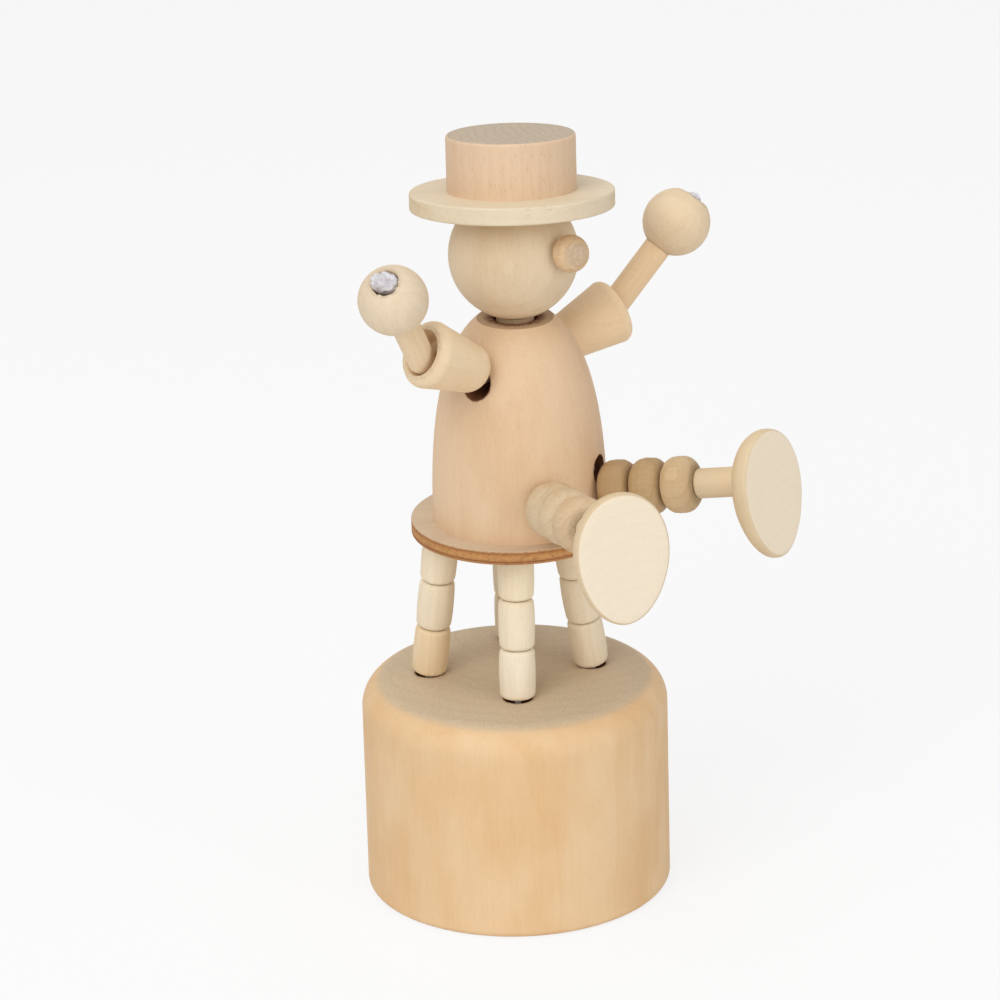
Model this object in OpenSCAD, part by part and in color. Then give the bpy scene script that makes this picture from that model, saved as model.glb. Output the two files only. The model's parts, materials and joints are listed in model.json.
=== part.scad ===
// Push puppet: a jointed wooden figure that sits on a beaded stool on a hollow drum.
// Pressing the button under the drum slackens the cords and the figure collapses.
// +Z is up and the figure faces -Y, so its right side is on -X.
// The origin is the centre of the drum's underside. Millimetres.

/* [Drum] */
// Diameter of the drum
drum_d = 50; // [46:1:60]
// Height of the drum
drum_h = 36; // [32:0.5:45]
// Radius of the drum's upper edge
drum_top_round = 4.8; // [2:0.2:6]
// Radius of the drum's lower edge
drum_foot_round = 1.2; // [0.4:0.2:2]
// Wall around the hollow
drum_wall = 6; // [4:0.5:7]
// Wood left above the hollow
drum_deck = 10; // [7:0.5:14]
// Diameter of the cord holes under the stool's feet
drum_hole_d = 4.6; // [3:0.1:5]

/* [Button and spring] */
// Thickness of the push button
button_t = 5; // [3:0.5:7]
// Gap all round the button
button_gap = 0.4; // [0.2:0.05:0.8]
// Height of the button's face above the table
button_recess = 0.5; // [0.4:0.1:2]
// Travel of the button
button_travel = 6.5; // [4:0.5:8]
// Diameter of the boss that centres the spring
boss_d = 11; // [8:0.5:14]
// Height of that boss
boss_h = 2; // [1:0.5:3]
// Diameter of the counterbores for the cords' knots
button_bore_d = 3.2; // [2.6:0.1:4]
// Depth of those counterbores
button_bore_h = 3; // [2:0.1:4]
// Diameter of the spring's wire
wire_d = 0.9; // [0.6:0.1:1.2]
// Turns of the spring
spring_turns = 6; // [4:1:8]

/* [Stool] */
// Diameter of a leg bead
bead_d = 5.9; // [5:0.1:6.6]
// Length of a leg bead
bead_h = 8.35; // [7:0.05:10]
// Radius of a leg bead's edges
bead_round = 0.9; // [0.4:0.1:1.4]
// Places of the feet across the drum: front right, front left, rear left, rear right
foot_x = [-6.9, 11.4, 11, -8.7]; // [-14:0.1:14]
// Places of the feet from front to back
foot_y = [-7.6, -6.6, 11, 10.9]; // [-14:0.1:14]
// Places of the leg tops across the seat
top_x = [-5.5, 6.4, 7.2, -8.3]; // [-12:0.1:12]
// Places of the leg tops from front to back
top_y = [-6.5, -6.8, 7.4, 7.3]; // [-12:0.1:12]
// Diameter of the seat
seat_d = 33.6; // [30:0.2:38]
// Thickness of the seat
seat_t = 2.3; // [1.5:0.1:4]
// Place of the seat across the drum
seat_x = 0.6; // [-2:0.1:2]
// Place of the seat from front to back
seat_y = -0.6; // [-2:0.1:2]

/* [Body] */
// Place of the body across the seat
body_x = 0.6; // [-1.5:0.1:1.5]
// Place of the body from front to back
body_y = -0.6; // [-1.5:0.1:1.5]
// Diameter of the body at the seat
body_d = 28.2; // [26:0.2:30]
// Height of the body
body_h = 33.6; // [30:0.2:35]
// Height at which the dome of the body would close
body_dome_h = 35.5; // [35.4:0.1:38]
// How square the body's dome is
body_power = 2.5; // [2:0.1:3.5]
// Wall around the hollow in the body's foot
body_wall = 2; // [1.6:0.1:4]
// Height of that hollow
chamber_h = 4; // [2:0.5:5]
// Diameter of the hole for the neck
neck_hole_d = 7.2; // [6.6:0.1:8]
// Diameter of the neck bead
neck_d = 6.1; // [5:0.1:6.4]
// Length of the neck bead
neck_h = 5; // [4:0.5:7]

/* [Head and hat] */
// Diameter of the head
head_d = 20.8; // [18:0.2:24]
// Height of the flat that carries the hat, above the head's centre
head_flat_h = 7.5; // [6:0.1:8.5]
// Tilt of the head towards its left and back
head_tilt = 7; // [0:0.5:12]
// Length of the peg that jams the head's cord
plug_len = 8; // [4:0.5:12]
// Diameter of the nose's cap
nose_d = 6; // [5:0.1:8]
// Thickness of the cap
nose_t = 2.5; // [1.5:0.1:3]
// Diameter of the nose's stem
nose_stem_d = 4.6; // [3:0.1:4.8]
// Length of the stem that shows
nose_proud = 1.5; // [1:0.1:3]
// Depth of the nose's hole
nose_hole = 3.5; // [2:0.1:5]
// Height of the nose above the middle of the face, in degrees
nose_lift = 6.5; // [-10:0.5:25]
// Turn of the nose towards the face's left
nose_turn = 6.5; // [0:0.5:15]
// Lean of the nose's stem back to the right
nose_lean = 26; // [0:0.5:30]
// Diameter of the brim
brim_d = 32.6; // [28:0.2:36]
// Thickness of the brim
brim_t = 2.85; // [1.5:0.05:4]
// Diameter of the crown
crown_d = 20.6; // [16:0.2:24]
// Height of the crown
crown_h = 9; // [6:0.2:14]

/* [Arms] */
// Height of the arm holes above the seat
arm_hole_h = 25.6; // [22:0.2:27]
// Diameter of the arm holes
arm_hole_d = 5; // [3:0.2:6]
// Turn of the arm holes around the body
arm_turn = 9.5; // [-15:0.5:15]
// Heights above the seat at which the sleeves rest on the body: right, left
shoulder_h = [27.8, 24.9]; // [22:0.1:29]
// Rise of the sleeves: right, left
sleeve_rise = [27, 20]; // [-10:0.5:35]
// How far the sleeves point forward: right, left
sleeve_forward = [-10, 20]; // [-20:0.5:30]
// Length of a sleeve
sleeve_len = 12.9; // [11:0.1:16]
// Diameter of a sleeve at the shoulder
sleeve_d = 8.1; // [7.4:0.1:9]
// Radius of the rounded shoulder end
sleeve_round = 3.4; // [2:0.1:3.6]
// Diameter of the cuff
cuff_d = 10.8; // [10:0.1:12]
// Radius of the cuff's rounded rim
cuff_round = 1.6; // [0.6:0.1:2]
// Depth of the hollow in the cuff
cuff_depth = 3.4; // [3:0.1:5]
// Diameter of the forearm
forearm_d = 4.5; // [3.6:0.1:4.7]
// Distance from the elbow to the hand's centre
forearm_reach = 16; // [14:0.1:20]
// Depths of the elbows below the cuffs' rims: right, left
elbow_inset = [0.6, -0.3]; // [-0.5:0.1:0.8]
// Distances of the elbows below the middles of the cuffs: right, left
elbow_drop = [1.1, -1.1]; // [-1.1:0.1:1.1]
// Rise of the forearms: right, left
forearm_rise = [53.5, 49]; // [30:0.5:60]
// How far the forearms point forward: right, left
forearm_forward = [20.5, 26]; // [0:0.5:35]
// Diameter of a hand
hand_d = 11; // [9:0.1:13]
// Diameter of the knot's hole in a hand
knot_hole_d = 4.4; // [3:0.1:5]

/* [Legs] */
// Heights of the leg holes above the seat: right, left
hip_hole_h = [7.3, 9.3]; // [7:0.1:12]
// Diameter of the leg holes
hip_hole_d = 4.6; // [3:0.1:5]
// Heights above the seat at which the legs rest on the body: right, left
hip_h = [6.5, 6.3]; // [5.5:0.1:10]
// Angles of the leg holes away from straight ahead: right, left
hip_spread = [27, 23]; // [20:0.5:32]
// Angles of the legs away from straight ahead: right, left
leg_spread = [22.5, 23]; // [18:0.5:30]
// Rise of the legs: right, left
leg_rise = [6.5, 9.5]; // [0:0.5:12]
// Diameter of a knee bead
knee_d = 9.1; // [8:0.1:10]
// Length of a knee bead
knee_len = 5.35; // [4.8:0.05:7]
// Radius of a knee bead's edges
knee_round = 2.2; // [1:0.1:2.3]
// Diameter of the shoe's stem
stem_d = 4.8; // [3.6:0.1:6]
// Length of the shoe's stem
stem_len = 8.5; // [5:0.1:10]
// Width of the sole
sole_w = 15.6; // [14:0.2:17]
// Height of the sole
sole_h = 21; // [18:0.2:24]
// How far the sole's middle lies below the stem
sole_drop = 2; // [0:0.1:3]
// Depth of the shoe from stem to sole
shoe_depth = 4.9; // [4:0.1:8]
// Turn of the toes towards the middle: right, left
toe_in = [0, 15]; // [0:0.5:20]

/* [Cords] */
// Diameter of the cords
cord_d = 1.1; // [0.6:0.1:1.4]
// Diameter of the bores that the cords run in
bore_d = 2; // [1.8:0.1:2.4]

/* [Hidden] */
$fn = 72;
RIGHT = 0;
LEFT = 1;
side_names = ["right", "left"];
leg_names = ["front_right", "front_left", "rear_left", "rear_right"];
tiers = 3;
gap = 0.06;
eps = 0.01;

// Drum and button
drum_r = drum_d / 2;
hollow_r = drum_r - drum_wall;
hollow_h = drum_h - drum_deck;
button_r = hollow_r - button_gap;
button_top = button_recess + button_t;
button_foot_round = 1;
button_top_round = 0.5;
boss_round = 0.4;
boss_top = button_top + boss_h;
spring_r = boss_d / 2 + wire_d;
spring_low = button_top + wire_d / 2 + gap;
spring_high = hollow_h - wire_d / 2 - gap;

// Stool legs: each is a straight stack of beads from its foot hole to the seat
bead_flat = bead_d / 2 - bead_round;
stack_h = tiers * (bead_h + gap);
function lean_of(leg) = [top_x[leg] - foot_x[leg], top_y[leg] - foot_y[leg], stack_h];
function unit(v) = v / norm(v);
function leg_dir(leg) = unit(lean_of(leg));
function leg_lift(leg) = gap + bead_flat * norm([leg_dir(leg).x, leg_dir(leg).y]);
function bead_foot(leg, tier) =
    [foot_x[leg], foot_y[leg], drum_h + leg_lift(leg)] + leg_dir(leg) * tier * (bead_h + gap);
function stack_top(leg) = bead_foot(leg, tiers).z + leg_lift(leg) - gap;

// Seat and body
seat_low = max([for (leg = [0:3]) stack_top(leg)]);
seat_top = seat_low + seat_t;
seat_round = 0.2;
axis_x = seat_x + body_x;
axis_y = seat_y + body_y;
body_r = body_d / 2;
body_top = seat_top + body_h;
chamber_r = body_r - body_wall;
// Where a leg's cord comes out of the seat, inside the body's hollow
function seat_hole(leg) =
    let (v = [top_x[leg] - axis_x, top_y[leg] - axis_y])
    [axis_x, axis_y] + unit(v) * min(norm(v), chamber_r - cord_d);
function body_radius(h) = body_r * pow(1 - pow(h / body_dome_h, body_power), 1 / body_power);

// Head and hat, measured from the head's centre
head_r = head_d / 2;
head_bore_wall = 1;
head_bore_d = neck_d - 2 * head_bore_wall;
neck_proud = 0.6;
neck_round = 0.3;
plug_round = 0.3;
nose_round = 0.3;
nose_dome = nose_t - 0.5;
brim_round = 0.35;
crown_round = 0.5;
head_sink = neck_d / 2;
head_z = body_top + neck_proud + sqrt(head_r * head_r - head_sink * head_sink);

// Where a piece with a rounded end rests on the body: the centre of its end face
function body_slope(h) = atan2(pow(h, body_power - 1) / pow(body_dome_h, body_power),
    pow(body_radius(h), body_power - 1) / pow(body_r, body_power));
function resting(azimuth, h, dir, r, round) =
    let (out = aim(azimuth, body_slope(h)), flat = (r - round) * norm(cross(out, dir)))
    [axis_x, axis_y, seat_top + h] + aim(azimuth, 0) * body_radius(h)
        + out * (round + flat + gap) - dir * round;

// Arms
sleeve_r = sleeve_d / 2;
cuff_r = cuff_d / 2;
mouth_r = cuff_r - cuff_round;
forearm_r = forearm_d / 2;
hand_r = hand_d / 2;
forearm_len = forearm_reach - sqrt(hand_r * hand_r - forearm_r * forearm_r) - gap;
knot_depth = 4.5;
knot_clearance = 0.35;
knot_r = knot_hole_d / 2 - knot_clearance;
knot_round = 0.8;
tail_r = 0.85 * knot_r;
tail_sink = 0.7;
tail_shift = [0.25, -0.15];
function side_sign(side) = side == RIGHT ? -1 : 1;
function aim(azimuth, rise) = [cos(rise) * cos(azimuth), cos(rise) * sin(azimuth), sin(rise)];
function forward(side, angle) = (side == RIGHT ? 180 : 0) - side_sign(side) * angle;
function sleeve_azimuth(side) = forward(side, sleeve_forward[side]);
function sleeve_dir(side) = aim(sleeve_azimuth(side), sleeve_rise[side]);
function sleeve_up(side) = aim(sleeve_azimuth(side), sleeve_rise[side] + 90);
function shoulder(side) =
    resting(forward(side, 0) + arm_turn, shoulder_h[side], sleeve_dir(side), sleeve_r, sleeve_round);
function elbow(side) = shoulder(side) + sleeve_dir(side) * (sleeve_len - elbow_inset[side])
    - sleeve_up(side) * elbow_drop[side];
function forearm_azimuth(side) = forward(side, forearm_forward[side]);
function forearm_dir(side) = aim(forearm_azimuth(side), forearm_rise[side]);
function hand(side) = elbow(side) + forearm_dir(side) * forearm_reach;

// Legs
knee_pitch = knee_len + gap;
stem_r = stem_d / 2;
stem_round = 0.5;
stem_sink = 1;
sole_edge = 1.1;
sole_egg = 0.11;
sole_points = 48;
back_foot = 0.24;
back_sweep = 86;
function hip_azimuth(side) = -90 + side_sign(side) * hip_spread[side];
function leg_azimuth(side) = -90 + side_sign(side) * leg_spread[side];
function leg_aim(side) = aim(leg_azimuth(side), leg_rise[side]);
function hip(side) = resting(hip_azimuth(side), hip_h[side], leg_aim(side), knee_d / 2, knee_round);
function knee(side, bead) = hip(side) + leg_aim(side) * bead * knee_pitch;

stool_nodes = [for (leg = leg_names) for (tier = [1:tiers]) str("stool_", leg, "_bead_", tier)];
knee_nodes = [for (side = side_names) for (bead = [1:tiers]) str(side, "_knee_bead_", bead)];
arm_nodes = [for (side = side_names) for (piece = ["sleeve", "forearm", "hand", "hand_knot"])
    str(side, "_", piece)];
shoe_nodes = [for (side = side_names) str(side, "_shoe")];

pale = [0.93, 0.85, 0.70];
peach = [0.88, 0.72, 0.53];
tan_wood = [0.90, 0.74, 0.50];
grey_wood = [0.80, 0.70, 0.58];
cotton = [0.93, 0.92, 0.90];
steel = [0.75, 0.76, 0.78];

// Half outline of a turned disc or bead with rounded edges, standing on y = 0
module turned_outline(r, h, low, high) {
    intersection() {
        union() {
            square([r - low, h - high]);
            translate([0, low]) square([r - high, h - low]);
            translate([0, low]) square([r, h - low - high]);
            if (low > 0) translate([r - low, low]) circle(low);
            if (high > 0) translate([r - high, h - high]) circle(high);
        }
        square([r, h]);
    }
}

// A turned disc or bead
module turned(r, h, low, high) {
    rotate_extrude() turned_outline(r, h, low, high);
}

// Stands the children's Z axis along a direction given by azimuth and rise
module aimed(azimuth, rise) {
    rotate([0, 90 - rise, azimuth]) children();
}

// Stands the children's Z axis along a unit vector
module along(dir) {
    aimed(atan2(dir.y, dir.x), asin(dir.z)) children();
}

// A turned bead with the cord's bore
module bored_bead(r, h, edge) {
    difference() {
        turned(r, h, edge, edge);
        translate([0, 0, -eps]) cylinder(h = h + 2 * eps, d = bore_d);
    }
}

// A straight stretch of cord between two points
module cord_run(from, to) {
    translate(from) along(unit(to - from)) cylinder(h = norm(to - from), d = cord_d, $fn = 10);
}

module base_drum() {
    color(tan_wood)
    difference() {
        turned(drum_r, drum_h, drum_foot_round, drum_top_round);
        translate([0, 0, -eps]) cylinder(h = hollow_h + eps, r = hollow_r);
        for (leg = [0:3])
            translate([foot_x[leg], foot_y[leg], 0]) cylinder(h = drum_h + eps, d = drum_hole_d);
    }
}

module push_button() {
    color(pale)
    difference() {
        union() {
            translate([0, 0, button_recess])
                turned(button_r, button_t, button_foot_round, button_top_round);
            translate([0, 0, button_top - eps]) turned(boss_d / 2, boss_h + eps, 0, boss_round);
        }
        for (leg = [0:3]) translate([foot_x[leg], foot_y[leg], 0]) {
            cylinder(h = boss_top, d = bore_d);
            cylinder(h = button_recess + button_bore_h, d = button_bore_d);
        }
    }
}

// Points and faces of a round wire swept along a helix
module return_spring() {
    sides = 6;
    steps_per_turn = 14;
    steps = steps_per_turn * spring_turns;
    function turn_at(i) = 360 * spring_turns * i / steps;
    function rise_at(i) = spring_low + (spring_high - spring_low) * i / steps;
    function ring(i) = [for (s = [0:sides - 1])
        let (a = 360 * s / sides, r = spring_r + wire_d / 2 * cos(a))
        [r * cos(turn_at(i)), r * sin(turn_at(i)), rise_at(i) + wire_d / 2 * sin(a)]];
    points = [for (i = [0:steps]) each ring(i)];
    walls = [for (i = [0:steps - 1]) for (s = [0:sides - 1])
        let (a = i * sides + s, b = i * sides + (s + 1) % sides)
        [a, a + sides, b + sides, b]];
    low_end = [for (s = [0:sides - 1]) s];
    high_end = [for (s = [sides - 1:-1:0]) steps * sides + s];
    color(steel) polyhedron(points, concat(walls, [low_end, high_end]));
}

module button_cords() {
    tied_r = button_bore_d / 2 - 2 * gap;
    tied_z = button_recess + button_bore_h - tied_r - gap;
    color(cotton) for (leg = [0:3]) translate([foot_x[leg], foot_y[leg], tied_z]) {
        sphere(r = tied_r);
        cylinder(h = drum_h - button_travel - cord_d - tied_z, d = cord_d);
    }
}

module stool_bead(leg, tier) {
    color(pale)
    translate(bead_foot(leg, tier)) along(leg_dir(leg)) bored_bead(bead_d / 2, bead_h, bead_round);
}

// Stands the children's Z axis along a leg's hole in the seat
module seat_bore(leg) {
    low = [top_x[leg], top_y[leg], seat_low];
    high = [seat_hole(leg).x, seat_hole(leg).y, seat_top];
    translate(low) along(unit(high - low)) children();
}

module seat() {
    color(tan_wood)
    difference() {
        translate([seat_x, seat_y, seat_low]) turned(seat_d / 2, seat_t, seat_round, seat_round);
        for (leg = [0:3]) seat_bore(leg) cylinder(h = 4 * seat_t, d = bore_d, center = true);
    }
}

module body() {
    rings = 48;
    outline = [for (i = [0:rings]) let (h = body_h * i / rings) [body_radius(h), h]];
    color(peach)
    translate([axis_x, axis_y, seat_top])
    difference() {
        rotate_extrude() polygon(concat([[0, 0]], outline, [[0, body_h]]));
        translate([0, 0, -eps]) cylinder(h = chamber_h + eps, r = chamber_r);
        cylinder(h = body_h, d = hip_hole_d);
        translate([0, 0, body_h - neck_h]) cylinder(h = neck_h + eps, d = neck_hole_d);
        translate([0, 0, arm_hole_h]) rotate([0, 90, arm_turn])
            cylinder(h = body_d, d = arm_hole_d, center = true);
        for (side = [RIGHT, LEFT])
            translate([0, 0, hip_hole_h[side]]) aimed(hip_azimuth(side), 0) cylinder(h = body_r, d = hip_hole_d);
    }
}

// The cords inside the body, from the seat's holes to the arms, the legs and the neck
module body_cords() {
    bundle_spread = 0.6;
    turn_z = seat_top + cord_d / 2;
    join_z = seat_top + chamber_h - cord_d / 2;
    bundle = [[-1, -1], [1, -1], [1, 1], [-1, 1]] * bundle_spread * cord_d;
    arm_z = seat_top + arm_hole_h;
    hole_h = [hip_hole_h[RIGHT], hip_hole_h[LEFT], arm_hole_h, arm_hole_h];
    azimuth = [hip_azimuth(RIGHT), hip_azimuth(LEFT), arm_turn, 180 + arm_turn];
    color(cotton) {
        for (leg = [0:3]) {
            middle = [axis_x + bundle[leg].x, axis_y + bundle[leg].y];
            low = seat_hole(leg);
            limb_z = seat_top + hole_h[leg];
            out = aim(azimuth[leg], 0) * (body_radius(hole_h[leg]) - cord_d);
            cord_run([top_x[leg], top_y[leg], seat_low + gap], [low.x, low.y, turn_z]);
            cord_run([low.x, low.y, turn_z - cord_d / 3], [middle.x, middle.y, join_z]);
            cord_run([middle.x, middle.y, join_z - cord_d / 3], [middle.x, middle.y, limb_z]);
            cord_run([middle.x, middle.y, limb_z - cord_d / 3],
                [axis_x + out.x, axis_y + out.y, limb_z]);
        }
        cord_run([axis_x, axis_y, arm_z], [axis_x, axis_y, body_top - cord_d]);
    }
}

module neck_bead() {
    color(peach)
    difference() {
        translate([axis_x, axis_y, body_top - neck_h]) turned(neck_d / 2, neck_h + neck_proud, neck_round, 0);
        translate([axis_x, axis_y, 0]) cylinder(h = head_z, d = bore_d);
        translate([axis_x, axis_y, head_z]) sphere(r = head_r + gap);
    }
}

// Carries what belongs to the head from its own centre to its place
module on_head() {
    translate([axis_x, axis_y, head_z]) rotate(a = head_tilt, v = [-1, 1, 0]) children();
}

module head() {
    color(peach)
    on_head() difference() {
        sphere(r = head_r);
        translate([-head_r, -head_r, head_flat_h]) cube([head_d, head_d, head_r]);
        translate([0, 0, -head_r]) cylinder(h = head_d, d = head_bore_d);
        nose_place() translate([0, 0, -nose_hole]) cylinder(h = nose_hole + nose_proud, d = nose_stem_d);
    }
}

// The peg that jams the head's cord in its bore
module head_plug() {
    color(pale)
    on_head() translate([0, 0, head_flat_h - plug_len])
        turned(head_bore_d / 2 - gap, plug_len - gap, plug_round, 0);
}

// Carries what belongs to the nose from its foot on the face to its place
module nose_place() {
    rotate([0, 0, nose_turn]) rotate([90 - nose_lift, 0, 0]) translate([0, 0, head_r])
        rotate([0, -nose_lean, 0]) children();
}

// A domed cap on a stem that is pushed into the face
module nose() {
    color(grey_wood)
    on_head() nose_place() {
        translate([0, 0, nose_proud]) turned(nose_d / 2, nose_t, nose_round, nose_dome);
        translate([0, 0, gap - nose_hole]) cylinder(h = nose_hole + nose_proud, r = nose_stem_d / 2 - gap);
    }
}

module hat_brim() {
    color(pale) on_head() translate([0, 0, head_flat_h]) turned(brim_d / 2, brim_t, brim_round, brim_round);
}

module hat_crown() {
    color(grey_wood) on_head() translate([0, 0, head_flat_h + brim_t])
        turned(crown_d / 2, crown_h, 0, crown_round);
}

// A turned cone with a rounded shoulder and a hollow cuff
module sleeve(side) {
    color(pale)
    translate(shoulder(side)) aimed(sleeve_azimuth(side), sleeve_rise[side])
    difference() {
        rotate_extrude() intersection() {
            union() {
                translate([sleeve_r - sleeve_round, sleeve_round]) circle(sleeve_round);
                square([sleeve_r - sleeve_round, sleeve_len]);
                polygon([[0, sleeve_round], [sleeve_r, sleeve_round],
                    [cuff_r, sleeve_len - cuff_round], [0, sleeve_len - cuff_round]]);
                translate([mouth_r, sleeve_len - cuff_round]) circle(cuff_round);
                translate([0, sleeve_round]) square([mouth_r, sleeve_len - sleeve_round]);
            }
            square([cuff_r, sleeve_len]);
        }
        translate([0, 0, -eps]) cylinder(h = sleeve_len, d = bore_d);
        translate([0, 0, sleeve_len - cuff_depth])
            cylinder(h = cuff_depth + eps, r1 = (mouth_r + forearm_r) / 2, r2 = mouth_r);
    }
}

// A rod with a round elbow and a dished end that the hand turns in
module forearm(side) {
    color(pale)
    translate(elbow(side)) aimed(forearm_azimuth(side), forearm_rise[side])
    difference() {
        union() {
            sphere(r = forearm_r);
            cylinder(h = forearm_len, r = forearm_r);
        }
        translate([0, 0, forearm_reach]) sphere(r = hand_r + gap);
        translate([0, 0, -forearm_d]) cylinder(h = forearm_len + forearm_d, d = bore_d);
    }
}

module hand_ball(side) {
    color(pale)
    translate(hand(side)) aimed(forearm_azimuth(side), forearm_rise[side])
    difference() {
        sphere(r = hand_r);
        cylinder(h = hand_d, d = bore_d, center = true);
        translate([0, 0, hand_r - knot_depth]) cylinder(h = knot_depth, d = knot_hole_d);
    }
}

// The cord's end: knotted, singed and pressed into the hand
module hand_knot(side) {
    color(cotton)
    translate(hand(side)) aimed(forearm_azimuth(side), forearm_rise[side]) {
        translate([0, 0, hand_r - knot_depth + gap])
            turned(knot_r, knot_depth - tail_sink, knot_round, knot_round);
        translate([tail_shift.x, tail_shift.y, hand_r - tail_sink]) sphere(r = tail_r);
    }
}

module knee_bead(side, bead) {
    color(pale)
    translate(knee(side, bead)) aimed(leg_azimuth(side), leg_rise[side])
        bored_bead(knee_d / 2, knee_len, knee_round);
}

// Egg outline of the sole, wide at the toes, around the point where the stem meets it
function sole_outline() = [for (i = [0:sole_points - 1]) let (a = 360 * i / sole_points)
    [sole_w / 2 * cos(a) * (1 + sole_egg * sin(a)), sole_h / 2 * sin(a) - sole_drop]];

module shoe(side) {
    slices = 6;
    color(pale)
    translate(knee(side, tiers)) aimed(leg_azimuth(side), leg_rise[side])
    difference() {
        union() {
            turned(stem_r, stem_len + stem_sink, stem_round, 0);
            translate([0, 0, stem_len]) rotate([side_sign(side) * toe_in[side], 0, 0]) rotate([0, 0, 90])
                hull() {
                    translate([0, 0, shoe_depth - sole_edge])
                        linear_extrude(sole_edge) polygon(sole_outline());
                    for (i = [1:slices]) let (a = back_sweep * i / slices)
                        translate([0, 0, (shoe_depth - sole_edge) * (1 - sin(a))])
                            linear_extrude(eps) polygon(sole_outline() * (back_foot + (1 - back_foot) * cos(a)));
                }
        }
        translate([0, 0, -eps]) cylinder(h = stem_len, d = bore_d);
    }
}

base_drum();
push_button();
return_spring();
button_cords();
for (leg = [0:3]) for (tier = [0:tiers - 1])
    stool_bead(leg, tier);
seat();
body();
body_cords();
neck_bead();
head();
head_plug();
nose();
hat_brim();
hat_crown();
for (side = [RIGHT, LEFT]) {
    sleeve(side);
    forearm(side);
    hand_ball(side);
    hand_knot(side);
    for (bead = [0:tiers - 1])
        knee_bead(side, bead);
    shoe(side);
}
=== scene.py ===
import bpy
import json
import math
from mathutils import Matrix, Vector, noise


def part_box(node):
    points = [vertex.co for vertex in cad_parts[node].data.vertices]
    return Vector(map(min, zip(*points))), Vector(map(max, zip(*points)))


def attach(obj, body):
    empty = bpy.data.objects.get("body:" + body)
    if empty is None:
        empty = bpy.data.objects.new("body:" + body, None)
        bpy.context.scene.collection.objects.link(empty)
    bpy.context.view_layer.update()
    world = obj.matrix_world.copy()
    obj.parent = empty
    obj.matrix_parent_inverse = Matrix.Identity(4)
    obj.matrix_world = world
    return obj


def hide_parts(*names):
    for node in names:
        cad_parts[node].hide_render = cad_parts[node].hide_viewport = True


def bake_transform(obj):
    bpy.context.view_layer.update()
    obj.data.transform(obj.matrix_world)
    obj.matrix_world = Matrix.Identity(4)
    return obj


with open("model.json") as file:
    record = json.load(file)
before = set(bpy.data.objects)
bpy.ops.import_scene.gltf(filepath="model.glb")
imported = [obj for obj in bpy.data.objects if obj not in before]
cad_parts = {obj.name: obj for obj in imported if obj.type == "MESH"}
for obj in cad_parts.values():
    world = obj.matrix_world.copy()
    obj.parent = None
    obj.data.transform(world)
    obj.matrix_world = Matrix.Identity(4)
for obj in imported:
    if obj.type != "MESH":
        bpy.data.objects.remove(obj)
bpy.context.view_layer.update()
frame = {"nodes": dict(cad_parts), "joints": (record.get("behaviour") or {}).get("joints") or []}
nodes = frame["nodes"]
joints = {joint["name"]: joint for joint in frame["joints"]}

# ---- Camera -------------------------------------------------------------------------------
# A long lens looks down on the figure from its front right, a little above the hat.
# The camera is rolled by a degree and a half.
camera_azimuth = 45.0
camera_elevation = 20.86
camera_roll = -1.585
camera_distance = 0.807
camera_sideways = -0.00152
camera_aim_height = 0.0664
camera_lens = 180.0
camera_film = 36.0

bearing = math.radians(camera_azimuth)
lift = math.radians(camera_elevation)
roll = math.radians(camera_roll)
view_right = Vector((math.cos(bearing), -math.sin(bearing), 0))
view_back = Vector((
    -math.sin(bearing) * math.cos(lift),
    -math.cos(bearing) * math.cos(lift),
    math.sin(lift),
))
view_up = view_back.cross(view_right)
rolled_right = math.cos(roll) * view_right + math.sin(roll) * view_up
rolled_up = math.cos(roll) * view_up - math.sin(roll) * view_right
camera_aim = view_right * camera_sideways + Vector((0, 0, camera_aim_height))
camera_place = camera_aim + view_back * camera_distance

camera_data = bpy.data.cameras.new("camera")
camera_data.lens = camera_lens
camera_data.sensor_width = camera_film
camera = bpy.data.objects.new("camera", camera_data)
bpy.context.scene.collection.objects.link(camera)
turned = Matrix((rolled_right, rolled_up, view_back)).transposed()
camera.matrix_world = Matrix.Translation(camera_place) @ turned.to_4x4()
bpy.context.scene.camera = camera

# ---- Drum ---------------------------------------------------------------------------------
# A short turned cylinder of pale close-grained wood with its grain upright, hollow underneath.
# Its sides are sanded smooth and warm in tone; its top is grey end grain with four cord holes.


def add(tree, kind, inputs=(), **settings):
    """Adds a node, sets it up, and fills or joins its inputs."""
    made = tree.nodes.new(kind)
    for name, value in settings.items():
        setattr(made, name, value)
    for name, value in dict(inputs).items():
        if isinstance(value, bpy.types.NodeSocket):
            tree.links.new(value, made.inputs[name])
        else:
            made.inputs[name].default_value = value
    return made


def compute(tree, operation, *values):
    """A Math node's result."""
    return add(tree, "ShaderNodeMath", dict(enumerate(values)), operation=operation).outputs[0]


def remap(tree, value, low, high, start=0.0, end=1.0):
    """A value carried smoothly from the range low..high to start..end."""
    ranges = {"Value": value, "From Min": low, "From Max": high, "To Min": start, "To Max": end}
    return add(tree, "ShaderNodeMapRange", ranges, interpolation_type="SMOOTHSTEP").outputs[0]


def blended(tree, share, first, second):
    """A colour between two others."""
    mixed = add(tree, "ShaderNodeMix", data_type="RGBA")
    for socket, value in ((mixed.inputs[0], share), (mixed.inputs[6], first), (mixed.inputs[7], second)):
        if isinstance(value, bpy.types.NodeSocket):
            tree.links.new(value, socket)
        else:
            socket.default_value = value
    return mixed.outputs[2]


def compute_vector(tree, operation, *values):
    """A Vector Math node's result."""
    return add(tree, "ShaderNodeVectorMath", dict(enumerate(values)), operation=operation).outputs[0]


def stretched(tree, vector, scale):
    """A vector scaled along its three axes."""
    return compute_vector(tree, "MULTIPLY", vector, scale)


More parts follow.
